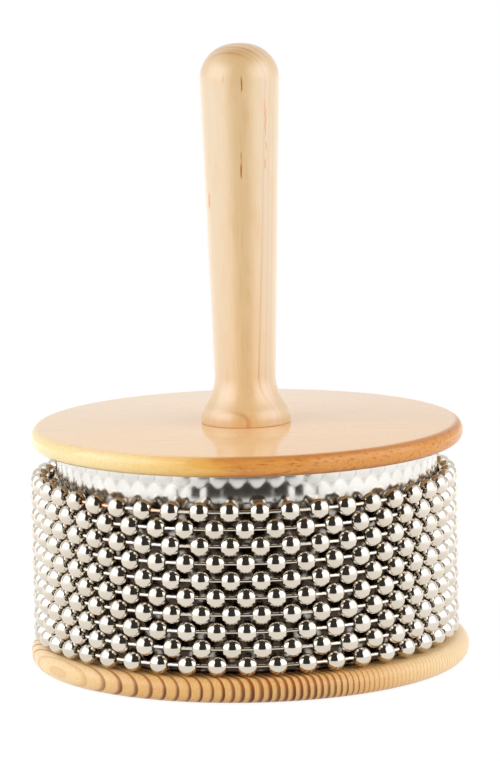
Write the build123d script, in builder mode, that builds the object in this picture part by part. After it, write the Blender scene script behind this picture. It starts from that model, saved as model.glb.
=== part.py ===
from build123d import *
from math import cos, pi, radians, sin, sqrt
import os

# A hand-held cabasa, in millimetres. A round wooden drum is wrapped in embossed steel sheet and held
# between two wooden discs. Closed loops of ball chain lie loose round the drum, and a turned handle
# stands on the upper disc. +Z runs up the handle, the origin is the middle of the lower disc's
# underside, and -Y is the front.

# Drum and discs
core_diameter = 97.0
bottom_disc_thickness = 6.2
bottom_disc_overhang = 1.5
top_disc_thickness = 5.3
top_disc_overhang = 0.5
disc_edge_flat = 0.6

# Steel sleeve
sheet_thickness = 0.4
sleeve_on_core = 0.1
sleeve_end_clearance = 0.1
bump_height = 0.3
bump_width = 4.76
bump_row_height = 3.6
seam_gap = 0.4
seam_plain_width = 15.0

# Tacks along the seam
tack_rows = 4
tack_row_spacing = 14.0
tack_from_seam = 4.0
tack_head_diameter = 3.0
tack_head_height = 0.6
tack_shank_diameter = 1.2
tack_shank_length = 8.0
tack_seat = 0.05
tack_hole_clearance = 0.05

# Ball chain
loop_count = 10
chain_slack = 1.2
chain_near_gap = 0.3
loop_gap = 0.75
loop_rest_clearance = 0.3
chain_headroom = 6.4
first_bead_angle = -89.87
bead_diameter = 5.0
bead_wall = 0.35
mouth_rim = 0.29
rod_diameter = 0.92
rod_play = 0.34
head_catch = 0.3
head_play = 0.24
link_gap = 3.06

# Closing bead of each loop
slot_play = 0.1
entry_play = 0.15
back_splice_bead = 22
splice_stagger = 6
top_splice_bead = 39

# Handle
handle_length = 98.0
foot_diameter = 23.1
foot_land = 1.2
foot_round = 6.0
waist_diameter = 15.8
waist_height = 12.5
grip_diameter = 20.44
shoulder_radius = 9.0
crown_radius = 15.0

# Screw that clamps the discs, the drum and the handle together
screw_diameter = 5.0
screw_head_diameter = 10.0
screw_recess = 0.3
screw_into_handle = 32.0
screw_tip_length = 6.0
screw_hole_clearance = 0.1
drive_slot_width = 1.1
drive_slot_length = 5.0
drive_slot_depth = 1.6

# Chain sizes that follow from the bead and the link
bead_radius = bead_diameter / 2
mouth_radius = rod_diameter / 2 + rod_play
mouth_flat_radius = mouth_radius + mouth_rim
bead_half_length = sqrt(bead_radius**2 - mouth_flat_radius**2)
cavity_radius = bead_radius - bead_wall
cavity_half_length = bead_half_length - bead_wall
cavity_flat_radius = sqrt(cavity_radius**2 - cavity_half_length**2)
head_radius = mouth_radius + head_catch / 2
head_from_bead = cavity_half_length - sqrt(head_radius**2 - mouth_radius**2) - head_play

# The sleeve stands on the core and the loops stand clear of the sleeve
sleeve_inner_radius = core_diameter / 2 + sleeve_on_core
valley_radius = sleeve_inner_radius + sheet_thickness
crest_radius = valley_radius + bump_height
loop_radius = crest_radius + chain_slack + bead_radius
beads_per_loop = round(2 * pi * loop_radius / (2 * bead_half_length + link_gap))
bead_step = 360 / beads_per_loop
bead_pitch = 2 * loop_radius * sin(pi / beads_per_loop)
link_radius = loop_radius * cos(pi / beads_per_loop)
loop_pitch = sqrt((bead_diameter + loop_gap) ** 2 - (bead_pitch / 2) ** 2)
chain_outer_radius = loop_radius + bead_radius
chain_hang = chain_slack - chain_near_gap

# Heights of the stack
lowest_loop = bottom_disc_thickness + loop_rest_clearance + bead_radius
highest_loop = lowest_loop + (loop_count - 1) * loop_pitch
drum_height = highest_loop + bead_radius + chain_headroom - bottom_disc_thickness
top_disc_base = bottom_disc_thickness + drum_height
handle_base = top_disc_base + top_disc_thickness
sleeve_height = drum_height - 2 * sleeve_end_clearance
screw_hole_radius = screw_diameter / 2 + screw_hole_clearance

os.makedirs("parts", exist_ok=True)


def finish_piece(piece, label):
    """Name a finished piece and write it to its own file."""
    piece.part.label = label
    export_step(piece.part, f"parts/{label}.step")


# Lower disc: a flat wooden round with both edges rounded over, countersunk below for the screw
with BuildPart() as bottom_disc:
    with BuildSketch():
        Circle(chain_outer_radius + bottom_disc_overhang)
    extrude(amount=bottom_disc_thickness)
    fillet(bottom_disc.edges().filter_by(GeomType.CIRCLE), (bottom_disc_thickness - disc_edge_flat) / 2)
    with Locations(Plane(bottom_disc.faces().sort_by(Axis.Z)[0])):
        CounterSinkHole(
            radius=screw_hole_radius,
            counter_sink_radius=screw_head_diameter / 2 + screw_hole_clearance + screw_recess,
            counter_sink_angle=90,
        )
finish_piece(bottom_disc, "bottom_disc")

# Upper disc: the thinner round that the handle stands on
with BuildPart() as top_disc:
    with BuildSketch(Plane.XY.offset(top_disc_base)):
        Circle(chain_outer_radius + top_disc_overhang)
    extrude(amount=top_disc_thickness)
    fillet(top_disc.edges().filter_by(GeomType.CIRCLE), (top_disc_thickness - disc_edge_flat) / 2)
    Hole(screw_hole_radius)
finish_piece(top_disc, "top_disc")

# Places of the tacks, in two columns beside the seam at the back, looking outwards
tack_planes = []
for side in (-1, 1):
    tack_angle = pi / 2 + side * tack_from_seam / valley_radius
    outwards = (cos(tack_angle), sin(tack_angle), 0)
    for row in range(tack_rows):
        tack_height = bottom_disc_thickness + drum_height / 2 + (row - (tack_rows - 1) / 2) * tack_row_spacing
        tack_point = (valley_radius * outwards[0], valley_radius * outwards[1], tack_height)
        tack_planes.append(Plane(origin=tack_point, x_dir=(0, 0, 1), z_dir=outwards))

# Drum core: the turned wooden block inside the sleeve, bored for the screw and the tacks
with BuildPart() as drum_core:
    with BuildSketch(Plane.XY.offset(bottom_disc_thickness)):
        Circle(core_diameter / 2)
        Circle(screw_hole_radius, mode=Mode.SUBTRACT)
    extrude(amount=drum_height)
    with Locations(*tack_planes):
        Cylinder(
            tack_shank_diameter / 2 + tack_hole_clearance,
            2 * (tack_shank_length + tack_hole_clearance),
            mode=Mode.SUBTRACT,
        )
finish_piece(drum_core, "drum_core")

# Steel sleeve: one sheet bent round the core, embossed with rows of pillow-shaped bumps that are
# staggered by half a bump, left plain beside the open seam, where it is tacked to the core
bumps_around = round(2 * pi * valley_radius / bump_width)
bump_step = 360 / bumps_around
bump_rows = round(sleeve_height / bump_row_height)
bump_row = sleeve_height / bump_rows
plain_half_angle = (seam_plain_width / 2) / valley_radius


def around(radius, angle):
    """Point on a circle about the drum's axis, with the angle in degrees from +X."""
    return (radius * cos(radians(angle)), radius * sin(radians(angle)))


with BuildPart() as steel_sleeve:
    for row in range(bump_rows):
        row_base = bottom_disc_thickness + sleeve_end_clearance + row * bump_row
        row_start = (row % 2) * bump_step / 2
        with BuildSketch(Plane.XY.offset(row_base)):
            with BuildLine():
                for bump in range(bumps_around):
                    start_angle = row_start + bump * bump_step
                    middle_angle = start_angle + bump_step / 2
                    near_seam = cos(radians(middle_angle - 90)) > cos(plain_half_angle)
                    middle_radius = valley_radius if near_seam else crest_radius
                    ThreePointArc(
                        around(valley_radius, start_angle),
                        around(middle_radius, middle_angle),
                        around(valley_radius, start_angle + bump_step),
                    )
            make_face()
            Circle(sleeve_inner_radius, mode=Mode.SUBTRACT)
        extrude(amount=bump_row)
    with BuildSketch(Plane.XY.offset(bottom_disc_thickness)):
        with Locations((0, valley_radius)):
            Rectangle(seam_gap, 2 * (crest_radius - sleeve_inner_radius) + 2 * sheet_thickness)
    extrude(amount=drum_height, mode=Mode.SUBTRACT)
    with Locations(*tack_planes):
        Cylinder(tack_shank_diameter / 2 + tack_hole_clearance, 4 * sheet_thickness, mode=Mode.SUBTRACT)
finish_piece(steel_sleeve, "steel_sleeve")

# Sleeve tacks: short round shanks with low domed heads, driven through the sheet into the core
with BuildPart() as tack:
    with BuildSketch(Plane.XZ):
        with BuildLine():
            Polyline(
                (0, tack_seat + tack_head_height),
                (0, -tack_shank_length),
                (tack_shank_diameter / 2, -tack_shank_length + tack_shank_diameter),
                (tack_shank_diameter / 2, tack_seat),
                (tack_head_diameter / 2, tack_seat),
            )
            TangentArc(
                (0, tack_seat + tack_head_height), (tack_head_diameter / 2, tack_seat), tangent=(1, 0)
            )
        make_face()
    revolve(axis=Axis.Z)
with BuildPart() as sleeve_tacks:
    with Locations(*tack_planes):
        add(tack.part)
finish_piece(sleeve_tacks, "sleeve_tacks")

# Handle: turned from one billet, with a flared foot, a slim waist, a straight taper out to the grip's
# fullest part and a domed end, bored from below for the screw
foot_radius = foot_diameter / 2
waist_radius = waist_diameter / 2
grip_radius = grip_diameter / 2
foot_drop = foot_radius - waist_radius
foot_rise = waist_height - foot_land
cove_radius = (foot_drop**2 + foot_rise**2) / (2 * foot_drop) - foot_round
flare_share = foot_round / (foot_round + cove_radius)
flare_meets_cove = (
    foot_radius - foot_round + flare_share * (waist_radius + cove_radius - foot_radius + foot_round),
    foot_land + flare_share * foot_rise,
)
crown_centre = handle_length - crown_radius
shoulder_reach = sqrt((crown_radius - shoulder_radius) ** 2 - (grip_radius - shoulder_radius) ** 2)
shoulder_height = crown_centre + shoulder_reach
crown_share = crown_radius / (crown_radius - shoulder_radius)
shoulder_meets_crown = (
    crown_share * (grip_radius - shoulder_radius),
    crown_centre + crown_share * shoulder_reach,
)
with BuildPart() as handle:
    with BuildSketch(Plane.XZ.shift_origin((0, 0, handle_base))):
        with BuildLine():
            Polyline((0, handle_length), (0, 0), (foot_radius, 0), (foot_radius, foot_land))
            TangentArc((foot_radius, foot_land), flare_meets_cove, tangent=(0, 1))
            TangentArc((waist_radius, waist_height), flare_meets_cove, tangent=(0, -1))
            Line((waist_radius, waist_height), (grip_radius, shoulder_height))
            TangentArc((grip_radius, shoulder_height), shoulder_meets_crown, tangent=(0, 1))
            TangentArc((0, handle_length), shoulder_meets_crown, tangent=(1, 0))
        make_face()
    revolve(axis=Axis.Z)
    with BuildSketch(Plane.XY.offset(handle_base)):
        Circle(screw_hole_radius)
    extrude(amount=screw_into_handle + screw_hole_clearance, mode=Mode.SUBTRACT)
finish_piece(handle, "handle")

# Handle screw: a long countersunk wood screw, put in from below, with a crossed recess in its head
screw_tip = handle_base + screw_into_handle
screw_neck = screw_recess + (screw_head_diameter - screw_diameter) / 2
with BuildPart() as handle_screw:
    with BuildSketch(Plane.XZ):
        with BuildLine():
            Polyline(
                (0, screw_recess),
                (screw_head_diameter / 2, screw_recess),
                (screw_diameter / 2, screw_neck),
                (screw_diameter / 2, screw_tip - screw_tip_length),
                (0, screw_tip),
                close=True,
            )
        make_face()
    revolve(axis=Axis.Z)
    with BuildSketch(Plane.XY.offset(screw_recess)):
        Rectangle(drive_slot_length, drive_slot_width)
        Rectangle(drive_slot_width, drive_slot_length)
    extrude(amount=drive_slot_depth, mode=Mode.SUBTRACT)
finish_piece(handle_screw, "handle_screw")

# One bead: a thin hollow ball, flattened at both ends of the chain's line, with a round mouth in each
# flat. The chain runs along the bead's own Y axis.
with BuildPart() as bead:
    with BuildSketch():
        with BuildLine():
            ThreePointArc(
                (mouth_flat_radius, -bead_half_length),
                (bead_radius, 0),
                (mouth_flat_radius, bead_half_length),
            )
            Polyline(
                (mouth_flat_radius, bead_half_length),
                (mouth_radius, bead_half_length),
                (mouth_radius, cavity_half_length),
                (cavity_flat_radius, cavity_half_length),
            )
            ThreePointArc(
                (cavity_flat_radius, cavity_half_length),
                (cavity_radius, 0),
                (cavity_flat_radius, -cavity_half_length),
            )
            Polyline(
                (cavity_flat_radius, -cavity_half_length),
                (mouth_radius, -cavity_half_length),
                (mouth_radius, -bead_half_length),
                (mouth_flat_radius, -bead_half_length),
            )
        make_face()
    revolve(axis=Axis.Y)

# Closing bead: the same ball with a keyhole on the side that faces the drum. A link's head goes in
# through the round entry, and its rod slides along the slot to the mouth.
with BuildPart() as closing_bead:
    add(bead.part)
    with BuildSketch(Plane.YZ):
        Rectangle(bead_diameter, rod_diameter + 2 * slot_play)
        Circle(head_radius + entry_play)
    extrude(amount=-bead_diameter, mode=Mode.SUBTRACT)

# One link: a thin rod with a round head at each end, which is held inside the bead's mouth
head_centre = bead_pitch / 2 - head_from_bead
rod_radius = rod_diameter / 2
rod_end = head_centre - sqrt(head_radius**2 - rod_radius**2)
with BuildPart() as link:
    with BuildSketch():
        with BuildLine():
            Line((0, head_centre + head_radius), (0, -head_centre - head_radius))
            ThreePointArc(
                (0, -head_centre - head_radius), (head_radius, -head_centre), (rod_radius, -rod_end)
            )
            Line((rod_radius, -rod_end), (rod_radius, rod_end))
            ThreePointArc(
                (rod_radius, rod_end), (head_radius, head_centre), (0, head_centre + head_radius)
            )
        make_face()
    revolve(axis=Axis.Y)


def loop_places(radius, height, start_angle, steps):
    """Places round one loop, turned so that local X points outwards and local Y along the chain."""
    angles = [start_angle + step * bead_step for step in steps]
    places = [(angle, around(radius, angle)) for angle in angles]
    return [Location((x - chain_hang, y, height), (0, 0, angle)) for angle, (x, y) in places]


# Chain loops, numbered from the lowest. They are slack and hang a little to the left of the drum's axis.
# Every second loop is turned by half a step, so that its beads nest between those below. Each loop is
# closed at one bead, and the two links there are its end links.
for loop in range(1, loop_count + 1):
    height = lowest_loop + (loop - 1) * loop_pitch
    bead_start = first_bead_angle - ((loop + 1) % 2) * bead_step / 2
    link_start = bead_start + bead_step / 2
    splice = back_splice_bead + splice_stagger * (loop % 3 - 1)
    if loop == loop_count:
        splice = top_splice_bead
    splice = splice % beads_per_loop
    end_links = [(splice - 1) % beads_per_loop, splice]
    plain_beads = [step for step in range(beads_per_loop) if step != splice]
    plain_links = [step for step in range(beads_per_loop) if step not in end_links]

    with BuildPart() as loop_beads:
        with Locations(*loop_places(loop_radius, height, bead_start, plain_beads)):
            add(bead.part)
    finish_piece(loop_beads, f"loop_{loop:02d}_beads")

    with BuildPart() as loop_links:
        with Locations(*loop_places(link_radius, height, link_start, plain_links)):
            add(link.part)
    finish_piece(loop_links, f"loop_{loop:02d}_links")

    with BuildPart() as loop_closing_bead:
        with Locations(*loop_places(loop_radius, height, bead_start, [splice])):
            add(closing_bead.part)
    finish_piece(loop_closing_bead, f"loop_{loop:02d}_closing_bead")

    with BuildPart() as loop_end_links:
        with Locations(*loop_places(link_radius, height, link_start, end_links)):
            add(link.part)
    finish_piece(loop_end_links, f"loop_{loop:02d}_end_links")
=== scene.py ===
import math

import bpy
from mathutils import Matrix, Vector


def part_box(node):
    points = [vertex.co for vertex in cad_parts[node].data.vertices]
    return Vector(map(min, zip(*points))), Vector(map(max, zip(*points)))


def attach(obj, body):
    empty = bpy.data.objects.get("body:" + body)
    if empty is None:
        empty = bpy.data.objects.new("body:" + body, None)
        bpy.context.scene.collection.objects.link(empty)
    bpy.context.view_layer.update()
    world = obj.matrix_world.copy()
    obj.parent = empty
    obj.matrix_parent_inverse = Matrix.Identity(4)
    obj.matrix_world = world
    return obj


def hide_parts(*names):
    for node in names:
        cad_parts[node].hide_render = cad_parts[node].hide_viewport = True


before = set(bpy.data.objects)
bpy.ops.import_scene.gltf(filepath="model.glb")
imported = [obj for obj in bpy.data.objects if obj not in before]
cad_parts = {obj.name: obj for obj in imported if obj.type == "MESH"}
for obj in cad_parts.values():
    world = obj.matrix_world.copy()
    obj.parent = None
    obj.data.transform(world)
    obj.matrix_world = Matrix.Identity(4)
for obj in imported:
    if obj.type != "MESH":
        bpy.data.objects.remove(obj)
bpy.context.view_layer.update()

# Lower disc. A round cut from a pine board with both edges rounded over, varnished all over.
# The long screw that clamps the whole instrument comes up through a countersunk hole in its middle.

mm = 0.001


def linked(name, data):
    """A new object in the scene, standing at the origin: a piece with its mesh, a lamp or a camera."""
    piece = bpy.data.objects.new(name, data)
    bpy.context.scene.collection.objects.link(piece)
    return piece


def edge_arc(centre_radius, centre_height, radius, start, end, steps=8):
    """Points along a rounded edge of an outline, with angles in degrees from outwards to upwards."""
    angles = [math.radians(start + (end - start) * step / steps) for step in range(steps + 1)]
    return [(centre_radius + radius * math.cos(a), centre_height + radius * math.sin(a)) for a in angles]


def turned(name, outline, closed=False, turns=192):
    """Turns an outline of (radius, height) points about Z, as on a lathe.

    The outline runs outwards below and inwards above, so that the faces point outwards."""
    on_axis, crease = 0.0001 * mm, math.radians(32)
    points, rings, faces = [], [], []
    for radius, height in outline:
        if radius < on_axis:
            rings.append([len(points)] * turns)
            points.append((0, 0, height))
            continue
        rings.append(list(range(len(points), len(points) + turns)))
        for turn in range(turns):
            angle = 2 * math.pi * turn / turns
            points.append((radius * math.cos(angle), radius * math.sin(angle), height))
    follow = rings[1:] + rings[:1] if closed else rings[1:]
    for lower, upper in zip(rings, follow):
        for turn in range(turns):
            after = (turn + 1) % turns
            corners = (lower[turn], lower[after], upper[after], upper[turn])
            faces.append(tuple(dict.fromkeys(corners)))
    mesh = bpy.data.meshes.new(name)
    mesh.from_pydata(points, [], faces)
    mesh.polygons.foreach_set("use_smooth", [True] * len(mesh.polygons))
    mesh.set_sharp_from_angle(angle=crease)
    return mesh


def disc_outline(low, high, edge_flat, bore, sink):
    """Closed outline of a disc with rounded edges, a bore and a countersink below."""
    edge, least_sink = (high.z - low.z - edge_flat) / 2, 0.05 * mm
    inner = high.x - edge
    return (
        [(bore, high.z), (bore, low.z + max(sink - bore, least_sink)), (max(sink, bore), low.z)]
        + edge_arc(inner, low.z + edge, edge, -90, 0)
        + edge_arc(inner, high.z - edge, edge, 0, 90)
    )


def paint(red, green, blue):
    """A colour as a paint card gives it, 0 to 255, in the numbers that a shader takes."""
    parts = [value / 255 for value in (red, green, blue)]
    return tuple(p / 12.92 if p <= 0.04045 else ((p + 0.055) / 1.055) ** 2.4 for p in parts) + (1.0,)


def feed(tree, kind, inputs=(), **options):
    """Adds a node, sets its options and feeds its sockets with values or with other nodes' outputs."""
    node = tree.nodes.new(kind)
    for option, value in options.items():
        setattr(node, option, value)
    for socket, value in dict(inputs).items():
        if isinstance(value, bpy.types.NodeSocket):
            tree.links.new(value, node.inputs[socket])
        else:
            node.inputs[socket].default_value = value
    return node


def reckon(tree, operation, *terms):
    """One step of arithmetic on numbers or on other nodes' outputs."""
    return feed(tree, "ShaderNodeMath", enumerate(terms), operation=operation).outputs[0]


def between(tree, value, start, end):
    """Rises smoothly from 0 at start to 1 at end."""
    node = feed(tree, "ShaderNodeMapRange", {"Value": value, "From Min": start, "From Max": end})
    node.interpolation_type = "SMOOTHSTEP"
    return node.outputs[0]


def over(tree, amount, under, cover, blend="MIX"):
    """Lays one colour over another by an amount."""
    node = feed(tree, "ShaderNodeMix", {0: amount, 6: under, 7: cover}, data_type="RGBA", blend_type=blend)
    return node.outputs[2]


def shades(tree, amount, stops):
    """A row of colours along an amount, as (place, colour) stops."""
    node = feed(tree, "ShaderNodeValToRGB", {0: amount})
    row = node.color_ramp.elements
    row[0].position, row[1].position = stops[0][0], stops[-1][0]
    row[0].color, row[1].color = stops[0][1], stops[-1][1]
    for place, colour in stops[1:-1]:
        row.new(place).color = colour
    return node.outputs[0]


def in_place(tree, location=(0, 0, 0), rotation=(0, 0, 0), scale=(1, 1, 1)):
    """The piece's own coordinates in metres, scaled, turned and moved."""
    source = feed(tree, "ShaderNodeTexCoord").outputs["Object"]
    inputs = {"Vector": source, "Location": location, "Rotation": rotation, "Scale": scale}
    return feed(tree, "ShaderNodeMapping", inputs).outputs[0]


def mottle(tree, vector, scale, detail=3.0, rough=0.5):
    """Soft random variation, about 0.5."""
    inputs = {"Vector": vector, "Scale": scale, "Detail": detail, "Roughness": rough}
    return feed(tree, "ShaderNodeTexNoise", inputs).outputs[0]


def apart(tree, vector):
    """The three parts of a vector, as X, Y and Z."""
    return feed(tree, "ShaderNodeSeparateXYZ", {0: vector}).outputs


def from_axis(tree, vector):
    """Distance from the upright axis through the origin."""
    level = feed(tree, "ShaderNodeVectorMath", {0: vector, 1: (1, 1, 0)}, operation="MULTIPLY").outputs[0]
    return feed(tree, "ShaderNodeVectorMath", {0: level}, operation="LENGTH").outputs["Value"]


def relief(tree, shader, height, strength, depth, normal=None):
    """Feeds fine relief into a shader's normal."""
    bump = feed(tree, "ShaderNodeBump", {"Height": height, "Strength": strength, "Distance": depth})
    if normal:
        tree.links.new(normal, bump.inputs["Normal"])
    tree.links.new(bump.outputs[0], shader.inputs["Normal"])


def finish_of(name, **constants):
    """A new material with its tree and shader, and what is the same all over the surface."""
    material = bpy.data.materials.new(name)
    material.use_nodes = True
    shader = next(n for n in material.node_tree.nodes if n.type == "BSDF_PRINCIPLED")
    for socket, value in constants.items():
        shader.inputs[socket.replace("_", " ")].default_value = value
    return material, material.node_tree, shader


def varnished_pine():
    """Pine whose summer rings stand upright in the board, at a slant to the front.

    They tighten from left to right, are broadest left of the middle and fade at the right. At the left
    end the rim cuts the last ring as a small soft oval. Places across the board are in millimetres."""
    pine, tree, shader = finish_of("varnished_pine", Coat_Weight=0.25, Coat_Roughness=0.2, Coat_IOR=1.5,
                                   Specular_IOR_Level=0.2)
    board_turn = (0, 0, -math.radians(29.5))
    rings_per_mm, first_ring, tighter_from, tighter_rate, sway_rings = 0.455, -0.365, -35.0, 0.00275, 0.36
    oval_rim, oval_middle, oval_end = -57.0, -55.7, -52.0
    own = apart(tree, in_place(tree))
    across_board = reckon(tree, "DIVIDE", apart(tree, in_place(tree, rotation=board_turn))[0], mm)
    sway = mottle(tree, in_place(tree, rotation=board_turn, scale=(1, 0.3, 1)), 60.0, 2.0)
    past = reckon(tree, "MAXIMUM", reckon(tree, "SUBTRACT", across_board, tighter_from), 0.0)
    rings = reckon(tree, "MULTIPLY_ADD", across_board, rings_per_mm, first_ring)
    rings = reckon(tree, "MULTIPLY_ADD", reckon(tree, "MULTIPLY", past, past), tighter_rate, rings)
    rings = reckon(tree, "MULTIPLY_ADD", sway, sway_rings, rings)
    inside = between(tree, across_board, oval_rim + 0.4, oval_end)
    rings = reckon(tree, "MULTIPLY_ADD", inside, 0.12, rings)
    rings = reckon(tree, "MULTIPLY_ADD", between(tree, across_board, oval_rim, oval_middle), 0.3, rings)
    across_ring = reckon(tree, "FRACT", rings)
    each = feed(tree, "ShaderNodeTexWhiteNoise", {"W": reckon(tree, "FLOOR", rings)}, noise_dimensions="1D")

    upper = between(tree, own[2], 2.4 * mm, 5.6 * mm)
    broad = reckon(tree, "MULTIPLY", between(tree, across_board, -38.0, -26.0),
                   between(tree, across_board, 0.0, -12.0))
    faint = between(tree, across_board, -8.0, 16.0)
    summer_start = reckon(tree, "MULTIPLY_ADD", upper, 0.08, 0.56)
    summer_start = reckon(tree, "MULTIPLY_ADD", broad, -0.3, summer_start)
    summer_full = reckon(tree, "MULTIPLY_ADD", broad, -0.14, 0.84)
    summer = reckon(tree, "MULTIPLY", between(tree, across_ring, summer_start, summer_full),
                    between(tree, across_ring, 1.0, 0.92))
    strength = reckon(tree, "MULTIPLY", summer, reckon(tree, "MULTIPLY_ADD", each.outputs[0], 0.15, 0.85))
    strength = reckon(tree, "MULTIPLY", strength, reckon(tree, "MULTIPLY_ADD", inside, 0.72, 0.28))
    strength = reckon(tree, "MULTIPLY", strength, reckon(tree, "MULTIPLY_ADD", faint, -0.6, 1.0))

    fibre = mottle(tree, in_place(tree, rotation=board_turn, scale=(1, 0.05, 1)), 2600.0, 4.0, 0.6)
    spring = shades(tree, fibre, [(0.3, paint(228, 172, 98)), (0.5, paint(236, 185, 115)),
                                  (0.7, paint(244, 199, 133))])
    # Painted sheen: the spring wood is paler towards both ends of the board, where the soft boxes shine on
    # the rim.
    pale = shades(tree, fibre, [(0.3, paint(252, 212, 150)), (0.7, paint(255, 230, 180))])
    sheen_to_side = between(tree, reckon(tree, "ABSOLUTE", own[0]), 24 * mm, 54 * mm)
    spring = over(tree, sheen_to_side, spring, pale)
    # Painted shade and highlight: the summer wood is darker low on the rim and lighter towards its top
    # rounding.
    summer_wood = over(tree, upper, paint(106, 44, 8), paint(168, 84, 26))
    soft = reckon(tree, "MAXIMUM", faint, reckon(tree, "SUBTRACT", 1.0, inside))
    summer_wood = over(tree, soft, summer_wood, paint(218, 140, 64))
    tree.links.new(over(tree, strength, spring, summer_wood), shader.inputs["Base Color"])
    tree.links.new(reckon(tree, "MULTIPLY_ADD", fibre, 0.2, 0.3), shader.inputs["Roughness"])
    relief(tree, shader, reckon(tree, "ADD", fibre, summer), 0.06, 0.1 * mm)
    return pine


screw_bore, screw_sink = 2.6 * mm, 5.4 * mm
disc_edge_flat = 0.6 * mm
bottom_low, bottom_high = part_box("bottom_disc")
bottom_outline = disc_outline(bottom_low, bottom_high, disc_edge_flat, screw_bore, screw_sink)
bottom_disc = linked("pine_bottom_disc", turned("pine_bottom_disc", bottom_outline, closed=True))
bottom_disc.data.materials.append(varnished_pine())
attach(bottom_disc, "drum")
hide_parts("bottom_disc")

# Drum core. A plain turned block of softwood that carries the sheet, hidden once the discs are on.
# It is bored for the long screw and left without varnish.


def bare_core_wood():
    """Unvarnished softwood with rings round an upright pith."""
    wood, tree, shader = finish_of("bare_core_wood", Roughness=0.75)
    rings_per_metre, sway_reach = 330.0, 4 * mm
    spot = in_place(tree, location=(30 * mm, 12 * mm, 0))
    radius = reckon(tree, "MULTIPLY_ADD", mottle(tree, spot, 30.0), sway_reach, from_axis(tree, spot))
    across = reckon(tree, "FRACT", reckon(tree, "MULTIPLY", radius, rings_per_metre))
    fibre = mottle(tree, in_place(tree, scale=(1, 1, 0.05)), 2200.0, 4.0, 0.6)
    ring = shades(tree, across, [(0.0, paint(232, 204, 158)), (0.6, paint(222, 188, 136)),
                                 (0.92, paint(176, 126, 76)), (1.0, paint(228, 200, 152))])
    tree.links.new(over(tree, reckon(tree, "MULTIPLY", fibre, 0.5), ring, paint(196, 160, 112)),
                   shader.inputs["Base Color"])
    relief(tree, shader, fibre, 0.3, 0.1 * mm)
    return wood


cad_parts["drum_core"].data.materials.clear()
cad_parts["drum_core"].data.materials.append(bare_core_wood())

# Steel sleeve. One bright sheet, rolled with staggered rows of pillow bumps and bent round the core.
# Its ends meet in an open seam at the back, where a plain strip is tacked down.


def group_input(tree, name, kind):
    """A named input of a node tree. Gives its identifier."""
    return tree.interface.new_socket(name, in_out="INPUT", socket_type=kind).identifier


def plain_mesh(piece):
    """Turns a piece's evaluated shape into its own mesh and takes its modifiers off."""
    evaluated = piece.evaluated_get(bpy.context.evaluated_depsgraph_get())
    piece.data = bpy.data.meshes.new_from_object(evaluated)
    piece.modifiers.clear()


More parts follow.
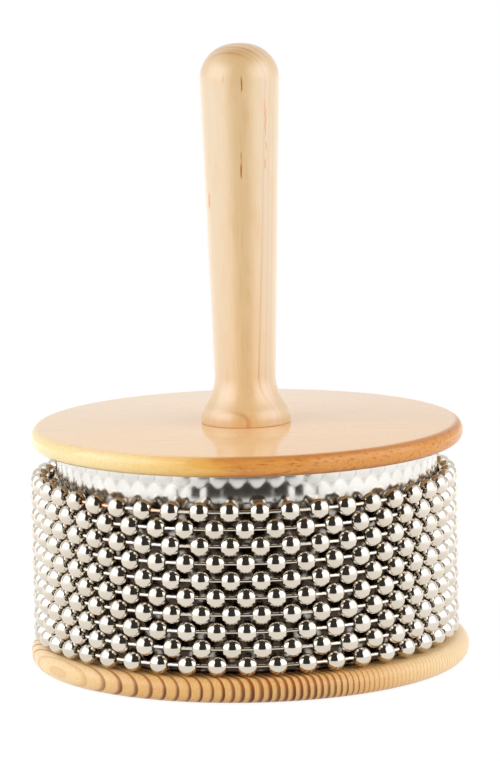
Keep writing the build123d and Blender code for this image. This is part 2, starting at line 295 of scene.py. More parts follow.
def embossing_tree():
    """A sheet bent round the drum, raised in staggered pillows that meet in sharp valleys.

    The falls stretch a pillow's width and height, and the drop lets its crest lie below its middle."""
    tree = bpy.data.node_groups.new("embossed_sheet", "GeometryNodeTree")
    tree.is_modifier = True
    sockets = {name: group_input(tree, name, kind) for name, kind in (
        ("Bumps Around", "NodeSocketInt"), ("Bump Rows", "NodeSocketInt"),
        ("Steps Per Bump", "NodeSocketInt"), ("Steps Per Row", "NodeSocketInt"),
        ("Row Fall", "NodeSocketFloat"), ("Side Fall", "NodeSocketFloat"),
        ("Crest Drop", "NodeSocketFloat"), ("Row Shift", "NodeSocketFloat"),
        ("Valley Radius", "NodeSocketFloat"), ("Bump Height", "NodeSocketFloat"),
        ("Base", "NodeSocketFloat"), ("Sheet Height", "NodeSocketFloat"),
        ("Seam Half Angle", "NodeSocketFloat"), ("Plain Half Angle", "NodeSocketFloat"),
        ("Finish", "NodeSocketMaterial"))}
    tree.interface.new_socket("Sheet", in_out="OUTPUT", socket_type="NodeSocketGeometry")
    given = feed(tree, "NodeGroupInput").outputs
    full_turn, back, plain_fade = 2 * math.pi, math.pi / 2, 1.3
    columns = reckon(tree, "MULTIPLY_ADD", given["Bumps Around"], given["Steps Per Bump"], 1.0)
    lines = reckon(tree, "MULTIPLY_ADD", given["Bump Rows"], given["Steps Per Row"], 1.0)
    grid = feed(tree, "GeometryNodeMeshGrid",
                {"Size X": 1.0, "Size Y": 1.0, "Vertices X": columns, "Vertices Y": lines}).outputs[0]
    flat = apart(tree, feed(tree, "GeometryNodeInputPosition").outputs[0])
    round_share = reckon(tree, "ADD", flat[0], 0.5)
    up_share = reckon(tree, "ADD", flat[1], 0.5)

    seam, plain = given["Seam Half Angle"], given["Plain Half Angle"]
    span = reckon(tree, "MULTIPLY_ADD", seam, -2.0, full_turn)
    from_seam = reckon(tree, "MULTIPLY_ADD", round_share, span, seam)
    to_seam = reckon(tree, "MINIMUM", from_seam, reckon(tree, "SUBTRACT", full_turn, from_seam))
    raised = between(tree, to_seam, plain, reckon(tree, "MULTIPLY", plain, plain_fade))
    angle = reckon(tree, "ADD", from_seam, back)

    bumps = reckon(tree, "MULTIPLY", reckon(tree, "DIVIDE", angle, full_turn), given["Bumps Around"])
    rows = reckon(tree, "MULTIPLY_ADD", up_share, given["Bump Rows"], given["Row Shift"])
    girth = reckon(tree, "MULTIPLY", given["Valley Radius"], full_turn)
    bump_width = reckon(tree, "DIVIDE", girth, given["Bumps Around"])
    bump_width = reckon(tree, "MULTIPLY", bump_width, given["Side Fall"])
    row_height = reckon(tree, "DIVIDE", given["Sheet Height"], given["Bump Rows"])
    row_height = reckon(tree, "MULTIPLY", row_height, given["Row Fall"])
    reaches = []
    for bump_shift, row_shift in ((0.0, 0.25), (0.5, 0.75)):
        aside = reckon(tree, "FRACT", reckon(tree, "ADD", bumps, bump_shift))
        aside = reckon(tree, "MULTIPLY", reckon(tree, "SUBTRACT", aside, 0.5), bump_width)
        above = reckon(tree, "FRACT", reckon(tree, "MULTIPLY_ADD", rows, 0.5, row_shift))
        above = reckon(tree, "MULTIPLY_ADD", above, 2.0, -1.0)
        bulge = reckon(tree, "SUBTRACT", 1.0, reckon(tree, "MULTIPLY", above, above))
        above = reckon(tree, "MULTIPLY_ADD", bulge, given["Crest Drop"], above)
        above = reckon(tree, "MULTIPLY", above, row_height)
        reaches.append(reckon(tree, "MULTIPLY_ADD", aside, aside, reckon(tree, "MULTIPLY", above, above)))
    nearest = reckon(tree, "MINIMUM", *reaches)
    half_width = reckon(tree, "MULTIPLY", bump_width, 0.5)
    corner = reckon(tree, "MULTIPLY_ADD", row_height, row_height,
                    reckon(tree, "MULTIPLY", half_width, half_width))
    foot = reckon(tree, "DIVIDE", corner, reckon(tree, "MULTIPLY", row_height, 2.0))
    fall = reckon(tree, "DIVIDE", nearest, reckon(tree, "MULTIPLY", foot, foot))
    pillow = reckon(tree, "MULTIPLY", reckon(tree, "SUBTRACT", 1.0, fall), raised)
    radius = reckon(tree, "MULTIPLY_ADD", pillow, given["Bump Height"], given["Valley Radius"])
    spot = feed(tree, "ShaderNodeCombineXYZ", {
        0: reckon(tree, "MULTIPLY", radius, reckon(tree, "COSINE", angle)),
        1: reckon(tree, "MULTIPLY", radius, reckon(tree, "SINE", angle)),
        2: reckon(tree, "MULTIPLY_ADD", up_share, given["Sheet Height"], given["Base"])}).outputs[0]
    bent = feed(tree, "GeometryNodeSetPosition", {"Geometry": grid, "Position": spot}).outputs[0]
    smooth = feed(tree, "GeometryNodeSetShadeSmooth", {"Geometry": bent}).outputs[0]
    whole = feed(tree, "GeometryNodeRealizeInstances", {"Geometry": smooth}).outputs[0]
    dressed = feed(tree, "GeometryNodeSetMaterial", {"Geometry": whole, "Material": given["Finish"]})
    feed(tree, "NodeGroupOutput", {0: dressed.outputs[0]})
    return tree, sockets


def bright_steel():
    """Rolled bright steel with fine rub marks from the chain, darker in its creases with painted shade.

    Under the chain it is darkened with painted shade, most of all between the crests."""
    steel, tree, shader = finish_of("bright_embossed_steel", Metallic=1.0)
    unshaded_above, shade_full_below = 50.0 * mm, 47.0 * mm
    rubbed = mottle(tree, in_place(tree, scale=(1, 1, 6)), 900.0, 4.0, 0.65)
    cloudy = mottle(tree, in_place(tree), 120.0, 2.0)
    bright = shades(tree, cloudy, [(0.3, paint(196, 193, 187)), (0.7, paint(208, 205, 199))])
    sheet_radius = from_axis(tree, in_place(tree))
    crest = between(tree, sheet_radius, 49.2 * mm, 49.29 * mm)
    # Painted shade: the valleys between the pillows are darkened.
    crease = reckon(tree, "MULTIPLY", between(tree, sheet_radius, 49.11 * mm, 49.03 * mm), 0.22)
    crease_shaded = over(tree, crease, bright, paint(84, 80, 74))
    # Painted shade: behind the chain the sheet darkens downwards, less on the crests.
    under_chain = between(tree, apart(tree, in_place(tree))[2], unshaded_above, shade_full_below)
    chain_shade = reckon(tree, "MULTIPLY", under_chain, reckon(tree, "MULTIPLY_ADD", crest, -0.45, 1.0))
    tree.links.new(over(tree, chain_shade, crease_shaded, paint(64, 55, 47)), shader.inputs["Base Color"])
    tree.links.new(reckon(tree, "MULTIPLY_ADD", rubbed, 0.14, 0.12), shader.inputs["Roughness"])
    relief(tree, shader, rubbed, 0.06, 0.05 * mm)
    return steel


sleeve_low, sleeve_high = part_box("steel_sleeve")
sheet_thickness, bump_height = 0.35 * mm, 0.3 * mm
seam_gap, seam_plain_width = 0.4 * mm, 15 * mm
valley_radius = 49 * mm
sheet_tree, sheet_sockets = embossing_tree()
sleeve = linked("embossed_sleeve", bpy.data.meshes.new("embossed_sleeve"))
embossing = sleeve.modifiers.new("embossing", "NODES")
embossing.node_group = sheet_tree
for socket, value in {
    "Bumps Around": 64, "Bump Rows": 10, "Steps Per Bump": 7, "Steps Per Row": 8,
    "Row Fall": 1.0, "Side Fall": 1.4, "Crest Drop": 0.3, "Row Shift": 0.36,
    "Valley Radius": valley_radius, "Bump Height": bump_height,
    "Base": sleeve_low.z, "Sheet Height": sleeve_high.z - sleeve_low.z,
    "Seam Half Angle": seam_gap / 2 / valley_radius,
    "Plain Half Angle": seam_plain_width / 2 / valley_radius, "Finish": bright_steel(),
}.items():
    embossing[sheet_sockets[socket]] = value
plain_mesh(sleeve)
wall = sleeve.modifiers.new("sheet_thickness", "SOLIDIFY")
wall.thickness, wall.offset = sheet_thickness, -1.0
plain_mesh(sleeve)
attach(sleeve, "drum")
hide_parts("steel_sleeve")

# Sleeve tacks. Eight small steel tacks with low domed heads, driven through the sheet into the core
# in two columns beside the seam.


def blued_tack_steel():
    """Dull cut-tack steel, a little darker in its hollows."""
    steel, tree, shader = finish_of("blued_tack_steel", Metallic=1.0)
    worn = mottle(tree, in_place(tree), 1400.0, 4.0, 0.6)
    tree.links.new(shades(tree, worn, [(0.3, paint(120, 120, 124)), (0.7, paint(176, 176, 178))]),
                   shader.inputs["Base Color"])
    tree.links.new(reckon(tree, "MULTIPLY_ADD", worn, 0.3, 0.2), shader.inputs["Roughness"])
    relief(tree, shader, worn, 0.1, 0.05 * mm)
    return steel


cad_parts["sleeve_tacks"].data.materials.clear()
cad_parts["sleeve_tacks"].data.materials.append(blued_tack_steel())

# Ball chain. Ten closed loops of hollow nickel-plated beads, rolled from strip with a mouth at each end.
# Dumbbell links of plated wire join the beads, and their heads are caught inside the mouths.


def along_chain(mesh):
    """Lays a piece that was turned about Z along the chain's line, which is Y."""
    mesh.transform(Matrix.Rotation(math.radians(-90), 4, "X"))
    return mesh


bead_radius, bead_half_length = 2.5 * mm, 2.25 * mm
mouth_radius, mouth_flat, mouth_ease, bead_wall = 0.8 * mm, 1.09 * mm, 0.08 * mm, 0.35 * mm
mouth_angle = math.degrees(math.acos(mouth_flat / bead_radius))
hollow_end = bead_half_length - bead_wall
hollow_girth, hollow_rise = (bead_radius - bead_wall) * 0.85, (bead_radius - bead_wall) * 0.5
bead_outline = (
    edge_arc(0, 0, bead_radius, -mouth_angle, mouth_angle, 10)
    + [(mouth_radius + mouth_ease, bead_half_length), (mouth_radius, bead_half_length - mouth_ease)]
    + [(mouth_radius, hollow_end), (hollow_girth, hollow_rise), (hollow_girth, -hollow_rise)]
    + [(mouth_radius, -hollow_end), (mouth_radius, mouth_ease - bead_half_length)]
    + [(mouth_radius + mouth_ease, -bead_half_length)]
)
bead_shape = linked("bead_shape", along_chain(turned("bead_shape", bead_outline, closed=True, turns=18)))

rod_radius, head_radius, head_from_bead = 0.46 * mm, 0.95 * mm, 1.148 * mm
loop_radius, beads_per_loop = 53 * mm, 44
bead_step = 2 * math.pi / beads_per_loop
head_centre = loop_radius * math.sin(bead_step / 2) - head_from_bead
head_neck = math.degrees(math.acos(rod_radius / head_radius))
link_outline = (
    edge_arc(0, -head_centre, head_radius, -90, head_neck, 5)
    + edge_arc(0, head_centre, head_radius, -head_neck, 90, 5)
)
link_outline[0], link_outline[-1] = (0, link_outline[0][1]), (0, link_outline[-1][1])
link_shape = linked("link_shape", along_chain(turned("link_shape", link_outline, turns=10)))

slot_half_width, slot_floor, entry_radius, entry_drop = 0.56 * mm, 0.2 * mm, 1.1 * mm, 0.2 * mm
closing_shape = linked("closing_shape", bead_shape.data.copy())
entry_outline = [(0, -bead_radius), (entry_radius, -bead_radius), (entry_radius, 0), (0, 0)]
entry = turned("entry", entry_outline, turns=20)
entry.transform(Matrix.Translation((0, 0, -entry_drop)) @ Matrix.Rotation(math.radians(90), 4, "Y"))
entry_cutter = linked("entry_cutter", entry)
slot = bpy.data.meshes.new("slot")
slot.from_pydata(
    [(x, y, z) for x in (-1.2 * bead_radius, -slot_floor) for y in (-bead_radius, bead_radius)
     for z in (-slot_half_width, slot_half_width)], [],
    [(0, 1, 3, 2), (4, 6, 7, 5), (0, 4, 5, 1), (2, 3, 7, 6), (0, 2, 6, 4), (1, 5, 7, 3)])
slot_cutter = linked("slot_cutter", slot)
for cutter in (entry_cutter, slot_cutter):
    cut = closing_shape.modifiers.new("keyhole", "BOOLEAN")
    cut.operation, cut.solver, cut.object = "DIFFERENCE", "EXACT", cutter
    plain_mesh(closing_shape)
    bpy.data.objects.remove(cutter)


def chain_tree():
    """Sets one shape at a run of places round a loop, turned so that its X points outwards."""
    tree = bpy.data.node_groups.new("chain_loop", "GeometryNodeTree")
    tree.is_modifier = True
    sockets = {name: group_input(tree, name, kind) for name, kind in (
        ("Shape", "NodeSocketObject"), ("Places", "NodeSocketInt"), ("First Place", "NodeSocketInt"),
        ("Run", "NodeSocketInt"), ("Radius", "NodeSocketFloat"), ("Middle", "NodeSocketVector"),
        ("Start Angle", "NodeSocketFloat"), ("Worn Place", "NodeSocketInt"), ("Seed", "NodeSocketInt"),
        ("Finish", "NodeSocketMaterial"))}
    tree.interface.new_socket("Chain", in_out="OUTPUT", socket_type="NodeSocketGeometry")
    given = feed(tree, "NodeGroupInput").outputs
    place = feed(tree, "GeometryNodeInputIndex").outputs[0]
    step = reckon(tree, "DIVIDE", 2 * math.pi, given["Places"])
    angle = reckon(tree, "MULTIPLY_ADD", place, step, given["Start Angle"])
    spot = feed(tree, "ShaderNodeCombineXYZ", {
        0: reckon(tree, "MULTIPLY", given["Radius"], reckon(tree, "COSINE", angle)),
        1: reckon(tree, "MULTIPLY", given["Radius"], reckon(tree, "SINE", angle)),
        2: 0.0}).outputs[0]
    spot = feed(tree, "ShaderNodeVectorMath", {0: spot, 1: given["Middle"]}, operation="ADD").outputs[0]
    places = feed(tree, "GeometryNodePoints", {"Count": given["Places"], "Position": spot}).outputs[0]
    tone = feed(tree, "FunctionNodeRandomValue", {"Seed": given["Seed"]}, data_type="FLOAT").outputs[1]
    toned = feed(tree, "GeometryNodeStoreNamedAttribute",
                 {"Geometry": places, "Name": "tone", "Value": tone}, data_type="FLOAT", domain="POINT")
    worn = reckon(tree, "COMPARE", place, given["Worn Place"], 0.1)
    marked = feed(tree, "GeometryNodeStoreNamedAttribute",
                  {"Geometry": toned.outputs[0], "Name": "worn", "Value": worn},
                  data_type="FLOAT", domain="POINT").outputs[0]
    past_first = reckon(tree, "ADD", reckon(tree, "SUBTRACT", place, given["First Place"]), given["Places"])
    along = reckon(tree, "MODULO", past_first, given["Places"])
    chosen = reckon(tree, "LESS_THAN", along, reckon(tree, "SUBTRACT", given["Run"], 0.5))
    shape = feed(tree, "GeometryNodeObjectInfo", {"Object": given["Shape"]}).outputs["Geometry"]
    turn = feed(tree, "ShaderNodeCombineXYZ", {2: angle}).outputs[0]
    set_out = feed(tree, "GeometryNodeInstanceOnPoints",
                   {"Points": marked, "Selection": chosen, "Instance": shape, "Rotation": turn}).outputs[0]
    whole = feed(tree, "GeometryNodeRealizeInstances", {"Geometry": set_out}).outputs[0]
    dressed = feed(tree, "GeometryNodeSetMaterial", {"Geometry": whole, "Material": given["Finish"]})
    feed(tree, "NodeGroupOutput", {0: dressed.outputs[0]})
    return tree, sockets


def mark(tree, name):
    """A number kept for each bead or link of a loop."""
    return feed(tree, "ShaderNodeAttribute", attribute_name=name, attribute_type="GEOMETRY").outputs["Fac"]


def outwards(tree, lean):
    """The surface's normal, leant away from the drum's axis."""
    own = feed(tree, "ShaderNodeTexCoord").outputs
    level = feed(tree, "ShaderNodeVectorMath", {0: own["Object"], 1: (1, 1, 0)}, operation="MULTIPLY")
    away = feed(tree, "ShaderNodeVectorMath", {0: level.outputs[0]}, operation="NORMALIZE").outputs[0]
    leant = feed(tree, "ShaderNodeVectorMath", {0: away, 1: (lean, lean, lean), 2: own["Normal"]},
                 operation="MULTIPLY_ADD").outputs[0]
    turned_out = feed(tree, "ShaderNodeVectorTransform", {0: leant}, vector_type="NORMAL",
                      convert_from="OBJECT", convert_to="WORLD").outputs[0]
    return feed(tree, "ShaderNodeVectorMath", {0: turned_out}, operation="NORMALIZE").outputs[0]


def plated_nickel(name, dull, pressed):
    """Polished nickel plate, a touch warm, with small dents, rub marks and specks of tarnish.

    Pressed beads are flatter outwards than a ball, so their shine leans that way."""
    nickel, tree, shader = finish_of(name, Metallic=1.0)
    dents = mottle(tree, in_place(tree), 700.0, 2.0)
    rubs = mottle(tree, in_place(tree), 5200.0, 3.0, 0.6)
    specks = between(tree, mottle(tree, in_place(tree), 1500.0, 4.0, 0.7), 0.66, 0.74)
    plate = over(tree, mark(tree, "tone"), paint(202, 193, 178), paint(209, 201, 188))
    specked = over(tree, reckon(tree, "MULTIPLY", specks, 0.5), plate, paint(150, 112, 74))
    bared = over(tree, mark(tree, "worn"), specked, paint(216, 160, 128))
    tree.links.new(bared, shader.inputs["Base Color"])
    rough = reckon(tree, "MULTIPLY_ADD", specks, 0.2, reckon(tree, "MULTIPLY_ADD", rubs, 0.08, dull))
    tree.links.new(rough, shader.inputs["Roughness"])
    uneven = reckon(tree, "MULTIPLY_ADD", rubs, 0.1, dents)
    relief(tree, shader, uneven, 0.05, 0.1 * mm, outwards(tree, pressed))
    return nickel


def bared_copper():
    """Plated wire whose nickel has worn through to a coppery ground."""
    copper, tree, shader = finish_of("bared_copper_wire", Metallic=1.0)
    rubs = mottle(tree, in_place(tree), 1800.0, 4.0, 0.6)
    tree.links.new(shades(tree, rubs, [(0.3, paint(212, 150, 116)), (0.55, paint(226, 176, 146)),
                                       (0.75, paint(226, 190, 166))]), shader.inputs["Base Color"])
    tree.links.new(reckon(tree, "MULTIPLY_ADD", rubs, 0.16, 0.1), shader.inputs["Roughness"])
    relief(tree, shader, rubs, 0.05, 0.05 * mm)
    return copper


loop_tree, loop_sockets = chain_tree()
bead_finish = plated_nickel("plated_bead_nickel", dull=0.02, pressed=0.35)
link_finish = plated_nickel("plated_link_nickel", dull=0.08, pressed=0.0)
end_link_finish = bared_copper()
loop_count, chain_hang = 10, 0.9 * mm
first_bead_angle = math.radians(-89.87)
back_splice, splice_stagger, top_splice, worn_top_link, no_link = 22, 6, 39, 41, -1
link_circle = loop_radius * math.cos(bead_step / 2)
for loop in range(1, loop_count + 1):
    label = f"loop_{loop:02d}"
    loop_low, loop_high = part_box(f"{label}_closing_bead")
    bead_start = first_bead_angle - ((loop + 1) % 2) * bead_step / 2
    link_start = bead_start + bead_step / 2
    top = loop == loop_count
    splice = top_splice if top else back_splice + splice_stagger * (loop % 3 - 1)
    worn_link = worn_top_link if top else no_link
    loop_middle = (-chain_hang, 0, (loop_low.z + loop_high.z) / 2)
    for kind, shape, circle, start, first, run, worn, finish, material_slot in (
        ("beads", bead_shape, loop_radius, bead_start, splice + 1, beads_per_loop - 1, no_link,
         bead_finish, "bead_nickel"),
        ("closing_bead", closing_shape, loop_radius, bead_start, splice, 1, no_link,
         bead_finish, "bead_nickel"),
        ("links", link_shape, link_circle, link_start, splice + 1, beads_per_loop - 2, worn_link,
         link_finish, "link_nickel"),
        ("end_links", link_shape, link_circle, link_start, splice - 1, 2, no_link,
         end_link_finish, "end_link_copper"),
    ):
        piece = linked(f"plated_{label}_{kind}", bpy.data.meshes.new(f"plated_{label}_{kind}"))
        chaining = piece.modifiers.new("chaining", "NODES")
        chaining.node_group = loop_tree
        for socket, value in {
            "Shape": shape, "Places": beads_per_loop, "First Place": first, "Run": run, "Radius": circle,
            "Middle": loop_middle, "Start Angle": start, "Worn Place": worn, "Seed": loop, "Finish": finish,
        }.items():
            chaining[loop_sockets[socket]] = value
        plain_mesh(piece)
        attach(piece, f"chain_{label}")
        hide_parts(f"{label}_{kind}")
for shape in (bead_shape, closing_shape, link_shape):
    bpy.data.objects.remove(shape)

# Upper disc. A thinner round of honey-coloured board with rounded edges under a thick gloss varnish.
# It is clamped between the core and the handle, and shows the handle's foot mirrored in its face.


def honey_varnished_wood():
    """Fine straight grain along X under gloss varnish.

    The rim is yellow at the left, painted paler there as the highlight of the left soft box. At the right
    it is ruddy, with short dark pores and a dark upper edge."""
    wood, tree, shader = finish_of("honey_varnished_wood", Coat_Roughness=0.12, Coat_IOR=1.45,
                                   Specular_IOR_Level=0.0)
    drift_reach = 46 * mm
    from_middle = from_axis(tree, in_place(tree))
    edge = between(tree, from_middle, 53.5 * mm, 55.6 * mm)
    arris = reckon(tree, "MULTIPLY", between(tree, from_middle, 53.6 * mm, 54.7 * mm),
                   between(tree, from_middle, 55.9 * mm, 54.9 * mm))
    clouds = mottle(tree, in_place(tree, scale=(1, 2, 6)), 26.0, 3.0)
    drift = reckon(tree, "MULTIPLY_ADD", clouds, drift_reach, apart(tree, in_place(tree))[0])
    ruddy = between(tree, drift, 2 * mm, 28 * mm)
    ruddy_edge = reckon(tree, "MULTIPLY", edge, ruddy)

    face = shades(tree, between(tree, drift, -30 * mm, 72 * mm), [
        (0.0, paint(255, 213, 157)), (0.35, paint(254, 210, 154)), (0.6, paint(253, 207, 151)),
        (1.0, paint(250, 204, 148))])
    # The pale yellow at the left end of the rim is partly a painted highlight of the left soft box.
    rim = shades(tree, between(tree, drift, -25 * mm, 30 * mm), [
        (0.0, paint(255, 232, 166)), (0.4, paint(253, 212, 126)), (0.74, paint(240, 178, 78)),
        (0.9, paint(216, 136, 50)), (1.0, paint(224, 148, 64))])
    tinted = over(tree, reckon(tree, "MULTIPLY", edge, 0.9), face, rim)
    slant = (math.radians(6), math.radians(-14), math.radians(2))
    lines = mottle(tree, in_place(tree, rotation=slant, scale=(0.06, 1, 1)), 1500.0, 4.0, 0.6)
    on_rim = reckon(tree, "MULTIPLY_ADD", ruddy, 0.7, -0.1)
    line_strength = reckon(tree, "MULTIPLY_ADD", edge, on_rim, 0.2)
    grained = reckon(tree, "MULTIPLY", between(tree, lines, 0.5, 0.72), line_strength)
    lined = over(tree, grained, tinted, over(tree, edge, paint(200, 116, 46), paint(166, 88, 24)))
    flecks = mottle(tree, in_place(tree, scale=(0.5, 1, 0.7)), 1700.0, 3.0, 0.6)
    fleck_strength = reckon(tree, "MULTIPLY", edge, reckon(tree, "MULTIPLY_ADD", ruddy, 0.5, 0.05))
    fleck_strength = reckon(tree, "ADD", fleck_strength, 0.15)
    speckled = reckon(tree, "MULTIPLY", between(tree, flecks, 0.48, 0.7), fleck_strength)
    flecked = over(tree, speckled, lined, over(tree, edge, paint(222, 136, 48), paint(240, 166, 84)))
    dark_arris = reckon(tree, "MULTIPLY", reckon(tree, "MULTIPLY", arris, ruddy), 0.5)
    tree.links.new(over(tree, dark_arris, flecked, paint(176, 92, 24)), shader.inputs["Base Color"])
    tree.links.new(reckon(tree, "MULTIPLY_ADD", ruddy_edge, -0.4, 1.0), shader.inputs["Coat Weight"])
    tree.links.new(reckon(tree, "MULTIPLY_ADD", lines, 0.2, 0.35), shader.inputs["Roughness"])
    relief(tree, shader, lines, 0.02, 0.05 * mm)
    return wood


top_low, top_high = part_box("top_disc")
top_outline = disc_outline(top_low, top_high, disc_edge_flat, screw_bore, 0)
top_disc = linked("honey_top_disc", turned("honey_top_disc", top_outline, closed=True))
top_disc.data.materials.append(honey_varnished_wood())
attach(top_disc, "drum")
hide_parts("top_disc")

# Handle. Turned in one piece from a pale hardwood billet, with a flared foot, a waist, a straight grip
# and a domed end, sanded and satin varnished. The screw holds it from below.

handle_low, handle_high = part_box("handle")
handle_length, foot_radius = handle_high.z - handle_low.z, handle_high.x
foot_land, foot_round, foot_ease = 1.2 * mm, 6.0 * mm, 0.2 * mm
waist_radius, waist_height = 7.9 * mm, 12.5 * mm
grip_radius, shoulder_radius, crown_radius = 10.22 * mm, 9.0 * mm, 15.0 * mm
screw_depth = 32.1 * mm
foot_drop, foot_rise = foot_radius - waist_radius, waist_height - foot_land
cove_radius = (foot_drop**2 + foot_rise**2) / (2 * foot_drop) - foot_round
flare_angle = math.degrees(math.atan2(foot_rise, waist_radius + cove_radius - foot_radius + foot_round))
crown_centre, shoulder_centre = handle_length - crown_radius, grip_radius - shoulder_radius
shoulder_reach = math.sqrt((crown_radius - shoulder_radius) ** 2 - shoulder_centre**2)
shoulder_height = crown_centre + shoulder_reach
crown_angle = math.degrees(math.atan2(shoulder_reach, shoulder_centre))
handle_outline = (
    [(0, screw_depth), (screw_bore, screw_depth), (screw_bore, 0)]
    + [(foot_radius - foot_ease, 0), (foot_radius, foot_ease)]
    + edge_arc(foot_radius - foot_round, foot_land, foot_round, 0, flare_angle, 10)
    + edge_arc(waist_radius + cove_radius, waist_height, cove_radius, 180 + flare_angle, 180, 12)[1:]
    + edge_arc(shoulder_centre, shoulder_height, shoulder_radius, 0, crown_angle, 12)
    + edge_arc(0, crown_centre, crown_radius, crown_angle, 90, 10)[1:]
)
handle_outline[-1] = (0, handle_length)
handle_outline = [(radius, handle_low.z + height) for radius, height in handle_outline]


def satin_maple():
    """Pale hardwood with thin growth lines round an upright pith far behind it, and short brown flecks.

    It is painted paler at both sides as a sheen, and warmer on the foot as a painted reflection of the
    disc; it is warmer on the dome too. The dome shows its end grain."""
    maple, tree, shader = finish_of("satin_pale_hardwood", Coat_Weight=1.0, Coat_Roughness=0.4,
                                    Coat_IOR=1.82)
    pith, sway_reach, end_ring = Vector((16.6, 40.3, 0)) * mm, 1.2 * mm, 2.3 * mm
    own = apart(tree, in_place(tree))
    sway = reckon(tree, "SUBTRACT", mottle(tree, in_place(tree, scale=(1, 1, 0.12)), 90.0, 3.0), 0.5)
    from_pith = from_axis(tree, in_place(tree, location=tuple(-pith)))
    radius = reckon(tree, "MULTIPLY_ADD", sway, sway_reach, from_pith)
    pale, line = paint(238, 202, 146), paint(206, 116, 22)
    nearest, farthest, line_rise, line_fall = 30.0, 56.0, 0.018, 0.006
    stops = [(0.0, pale)]
    for ring_radius, dark in ((34.0, 0.3), (38.0, 0.3), (41.5, 0.3), (44.2, 0.45), (46.2, 0.5), (47.7, 0.5),
                              (49.2, 0.75), (54.4, 0.55)):
        place = (ring_radius - nearest) / (farthest - nearest)
        tone = tuple(p + (l - p) * dark for p, l in zip(pale, line))
        stops += [(place - line_rise, pale), (place, tone), (place + line_fall, pale)]
    stops.append((1.0, pale))
    depth = feed(tree, "ShaderNodeMapRange",
                 {"Value": radius, "From Min": nearest * mm, "From Max": farthest * mm}).outputs[0]
    ringed = shades(tree, depth, stops)
    fibre = mottle(tree, in_place(tree, scale=(1, 1, 0.03)), 2400.0, 4.0, 0.6)
    fibrous = reckon(tree, "MULTIPLY", between(tree, fibre, 0.45, 0.75), 0.5)
    fibred = over(tree, fibrous, ringed, paint(224, 178, 118))
    # Painted sheen: the wood is paler and greyer towards both sides, where the soft boxes shine on it.
    sheen_to_side = between(tree, reckon(tree, "ABSOLUTE", own[0]), 1.5 * mm, 6.5 * mm)
    sheen_paled = over(tree, reckon(tree, "MULTIPLY", sheen_to_side, 0.7), fibred, paint(216, 192, 154))
    curl = mottle(tree, in_place(tree, scale=(1, 1, 0.3)), 330.0, 4.0, 0.6)
    curly = reckon(tree, "MULTIPLY", between(tree, curl, 0.5, 0.72), 0.35)
    curled = over(tree, curly, sheen_paled, paint(226, 172, 104))

    # Flecks in front lie at (aside, height) in millimetres, with half widths, half lengths and darkness.
    front, back = reckon(tree, "LESS_THAN", own[1], 0.0), reckon(tree, "GREATER_THAN", own[1], 0.0)
    waver = reckon(tree, "SUBTRACT", mottle(tree, in_place(tree, scale=(1, 1, 0.4)), 900.0, 3.0), 0.5)
    wavering = reckon(tree, "MULTIPLY_ADD", waver, 0.9 * mm, own[0])
    cells = mottle(tree, in_place(tree, location=(0.3, 0.1, 0.2), scale=(1, 1, 0.09)), 1300.0, 1.0)
    flecks = reckon(tree, "MULTIPLY", between(tree, cells, 0.755, 0.8), back)
    for aside, height, half_width, half_length, dark in (
        (0.45, 150.6, 0.28, 2.6, 1.0), (6.35, 141.3, 0.2, 6.4, 0.65), (6.45, 134.4, 0.2, 1.4, 0.6),
        (6.2, 129.8, 0.2, 1.8, 0.5), (-0.05, 128.4, 0.28, 2.6, 1.0), (0.1, 132.0, 0.2, 2.0, 0.5),
        (-8.35, 120.3, 0.24, 2.6, 0.65), (-4.2, 151.9, 0.3, 1.4, 0.35),
    ):
        across = reckon(tree, "DIVIDE", reckon(tree, "SUBTRACT", wavering, aside * mm), half_width * mm)
        along = reckon(tree, "DIVIDE", reckon(tree, "SUBTRACT", own[2], height * mm), half_length * mm)
        reach = reckon(tree, "MULTIPLY_ADD", across, across, reckon(tree, "MULTIPLY", along, along))
        fleck = reckon(tree, "MULTIPLY", between(tree, reach, 1.0, 0.1), front)
        flecks = reckon(tree, "MAXIMUM", flecks, reckon(tree, "MULTIPLY", fleck, dark))
    fleck_wood = over(tree, between(tree, flecks, 0.55, 1.0), paint(222, 146, 44), paint(172, 80, 12))
    flecked = over(tree, between(tree, flecks, 0.0, 0.6), curled, fleck_wood)

    # Painted reflection: the foot is warmed, as by the orange disc it stands on.
    foot = reckon(tree, "MULTIPLY", between(tree, own[2], 76 * mm, 64 * mm), 0.7)
    disc_warmed_foot = over(tree, foot, flecked, paint(255, 241, 208), "MULTIPLY")
    dome = reckon(tree, "MULTIPLY", between(tree, own[2], 147 * mm, 157 * mm), 0.5)
    domed = over(tree, dome, disc_warmed_foot, paint(222, 178, 112))
    end_lines = between(tree, reckon(tree, "FRACT", reckon(tree, "DIVIDE", radius, end_ring)), 0.5, 0.85)
    end_grain = reckon(tree, "MULTIPLY", between(tree, own[2], 155.5 * mm, 159 * mm), end_lines)
    ended = over(tree, reckon(tree, "MULTIPLY", end_grain, 0.4), domed, paint(192, 98, 16))
    tree.links.new(ended, shader.inputs["Base Color"])
    tree.links.new(reckon(tree, "MULTIPLY_ADD", fibre, 0.18, 0.32), shader.inputs["Roughness"])
    relief(tree, shader, fibre, 0.05, 0.05 * mm)
    return maple


handle = linked("turned_handle", turned("turned_handle", handle_outline, turns=128))
handle.data.materials.append(satin_maple())
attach(handle, "drum")
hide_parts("handle")

# Handle screw. One long countersunk wood screw of zinc-plated steel with a crossed recess, driven from
# below through both discs and the core into the handle.


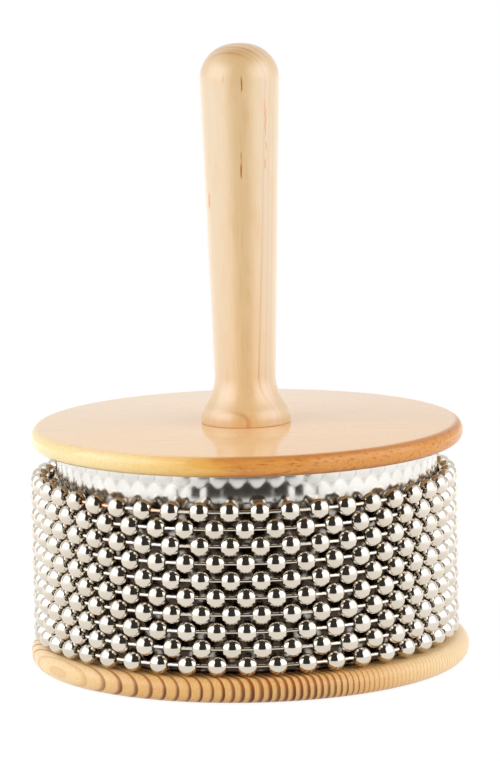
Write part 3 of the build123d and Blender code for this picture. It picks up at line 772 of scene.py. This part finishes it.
def zinc_plated_steel():
    """Zinc plate with a faint cloudy bloom."""
    zinc, tree, shader = finish_of("zinc_plated_screw", Metallic=1.0)
    bloom = mottle(tree, in_place(tree), 900.0, 3.0)
    tree.links.new(shades(tree, bloom, [(0.3, paint(176, 178, 180)), (0.7, paint(212, 212, 208))]),
                   shader.inputs["Base Color"])
    tree.links.new(reckon(tree, "MULTIPLY_ADD", bloom, 0.25, 0.15), shader.inputs["Roughness"])
    relief(tree, shader, bloom, 0.08, 0.05 * mm)
    return zinc


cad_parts["handle_screw"].data.materials.clear()
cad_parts["handle_screw"].data.materials.append(zinc_plated_steel())

# Studio. A pale floor that fades to white, two large soft boxes with a dark gap between them over the
# camera, which the beads show as a dark bar, and a long lens a little above the instrument.


def shown_rays(tree):
    """1 for the rays that see the white studio: from the camera, mirrored or passed through."""
    rays = feed(tree, "ShaderNodeLightPath").outputs
    mirrored = reckon(tree, "MAXIMUM", rays["Is Glossy Ray"], rays["Is Transmission Ray"])
    return reckon(tree, "MAXIMUM", rays["Is Camera Ray"], mirrored)


def blank_material(name):
    """A new material with an empty tree."""
    material = bpy.data.materials.new(name)
    material.use_nodes = True
    material.node_tree.nodes.clear()
    return material, material.node_tree


def pale_floor():
    """Pale floor that keeps the instrument's soft shadow and is plain white to the camera further off.

    Mirrored in the metal it glows brighter towards the soft boxes, a painted pool of their light."""
    floor_finish, tree = blank_material("pale_floor")
    shadow_start, shadow_end, lamp_side = 0.09, 0.3, 0.38
    matt = feed(tree, "ShaderNodeBsdfDiffuse", {"Color": (0.8, 0.79, 0.77, 1)}).outputs[0]
    shaded = feed(tree, "ShaderNodeBsdfDiffuse", {"Color": (0.2, 0.2, 0.2, 1)}).outputs[0]
    sideways = reckon(tree, "ABSOLUTE", apart(tree, in_place(tree))[0])
    by_lamps = reckon(tree, "MULTIPLY_ADD", between(tree, sideways, 0.0, lamp_side), 0.5, 0.12)
    glossy = feed(tree, "ShaderNodeLightPath").outputs["Is Glossy Ray"]
    mirrored = reckon(tree, "MULTIPLY", glossy, by_lamps)
    glow = feed(tree, "ShaderNodeEmission", {"Strength": reckon(tree, "ADD", mirrored, 0.88)}).outputs[0]
    near = feed(tree, "ShaderNodeAddShader", {0: shaded, 1: glow}).outputs[0]
    white = feed(tree, "ShaderNodeEmission", {"Strength": reckon(tree, "ADD", mirrored, 1.0)}).outputs[0]
    away = between(tree, from_axis(tree, in_place(tree)), shadow_start, shadow_end)
    seen = feed(tree, "ShaderNodeMixShader", {0: away, 1: near, 2: white}).outputs[0]
    both = feed(tree, "ShaderNodeMixShader", {0: shown_rays(tree), 1: matt, 2: seen}).outputs[0]
    feed(tree, "ShaderNodeOutputMaterial", {"Surface": both})
    return floor_finish


floor_half, floor_drop = 6.0, 0.1 * mm
floor_mesh = bpy.data.meshes.new("floor")
floor_mesh.from_pydata([(-floor_half, -floor_half, -floor_drop), (floor_half, -floor_half, -floor_drop),
                        (floor_half, floor_half, -floor_drop), (-floor_half, floor_half, -floor_drop)],
                       [], [(0, 1, 2, 3)])
floor_mesh.materials.append(pale_floor())
linked("floor", floor_mesh)


def dark_cloth():
    """Black cloth that closes the gap between the soft boxes."""
    cloth, tree = blank_material("dark_cloth")
    glow = feed(tree, "ShaderNodeEmission", {"Color": (1.0, 0.9, 0.82, 1), "Strength": 0.055}).outputs[0]
    feed(tree, "ShaderNodeOutputMaterial", {"Surface": glow})
    return cloth


# The cloth runs forward along the floor, widening, and then up and back over the camera, narrowing.
gap_reach, gap_low, gap_high, gap_steps, gap_spread, gap_height = 2.6, 1.0, 122.0, 24, 0.56, 2 * mm
gap_half_width, gap_narrowing = 0.5, 0.12
gap_points = [Vector((side * gap_spread * reach, -reach, gap_height))
              for reach in (0.26, 1.2, 2.2) for side in (-1, 1)]
for step in range(gap_steps + 1):
    share = step / gap_steps
    lift = math.radians(gap_low + (gap_high - gap_low) * share)
    half = gap_half_width - gap_narrowing * share
    level = math.sqrt(1 - half * half)
    for side in (-half, half):
        gap_points.append(Vector((side, -level * math.cos(lift), level * math.sin(lift))) * gap_reach)
gap_faces = [(2 * s, 2 * s + 1, 2 * s + 3, 2 * s + 2) for s in range(len(gap_points) // 2 - 1)]
gap_mesh = bpy.data.meshes.new("dark_gap")
gap_mesh.from_pydata(gap_points, [], gap_faces)
gap_mesh.materials.append(dark_cloth())
dark_gap = linked("dark_gap", gap_mesh)
dark_gap.visible_camera = dark_gap.visible_diffuse = dark_gap.visible_shadow = False
dark_gap.visible_transmission = False

lamp_aim, lamp_width, lamp_height, lamp_tint = Vector((0, 0, 0.075)), 2.0, 1.3, (0.95, 0.98, 1.08)
for name, direction, watts in (
    ("left_soft_box", Vector((-1.4, -0.5, 0.62)), 17.0),
    ("right_soft_box", Vector((1.4, -0.5, 0.62)), 16.0),
):
    lamp = bpy.data.lights.new(name, "AREA")
    lamp.shape, lamp.size, lamp.size_y, lamp.energy = "RECTANGLE", lamp_width, lamp_height, watts
    lamp.color = lamp_tint
    soft_box = linked(name, lamp)
    soft_box.location = lamp_aim + direction
    soft_box.rotation_euler = direction.to_track_quat("Z", "Y").to_euler()
    soft_box.visible_camera = False

world = bpy.data.worlds.new("white_studio")
bpy.context.scene.world = world
world.use_nodes = True
sky_tree = world.node_tree
sky_tree.nodes.clear()
soft_fill = feed(sky_tree, "ShaderNodeBackground", {"Color": (1, 0.99, 0.97, 1), "Strength": 0.5})
white_sweep = feed(sky_tree, "ShaderNodeBackground", {"Color": (1, 1, 1, 1), "Strength": 1.0})
sky = feed(sky_tree, "ShaderNodeMixShader",
           {0: shown_rays(sky_tree), 1: soft_fill.outputs[0], 2: white_sweep.outputs[0]})
feed(sky_tree, "ShaderNodeOutputWorld", {"Surface": sky.outputs[0]})

picture_height, lens_pixels, sensor = 761, 4484.4, 36.0
camera_place, camera_pitch, camera_roll = (0.0012, -1.1465, 0.2495), 8.76, -1.12
lens = bpy.data.cameras.new("long_lens")
lens.sensor_fit, lens.sensor_width, lens.sensor_height = "VERTICAL", sensor, sensor
lens.lens = lens_pixels / picture_height * sensor
lens.clip_end = 50.0
camera = linked("long_lens", lens)
pitched = Matrix.Rotation(math.radians(90 - camera_pitch), 4, "X")
rolled = Matrix.Rotation(math.radians(camera_roll), 4, "Z")
camera.matrix_world = Matrix.Translation(camera_place) @ pitched @ rolled
bpy.context.scene.camera = camera
bpy.context.scene.view_settings.view_transform = "Standard"
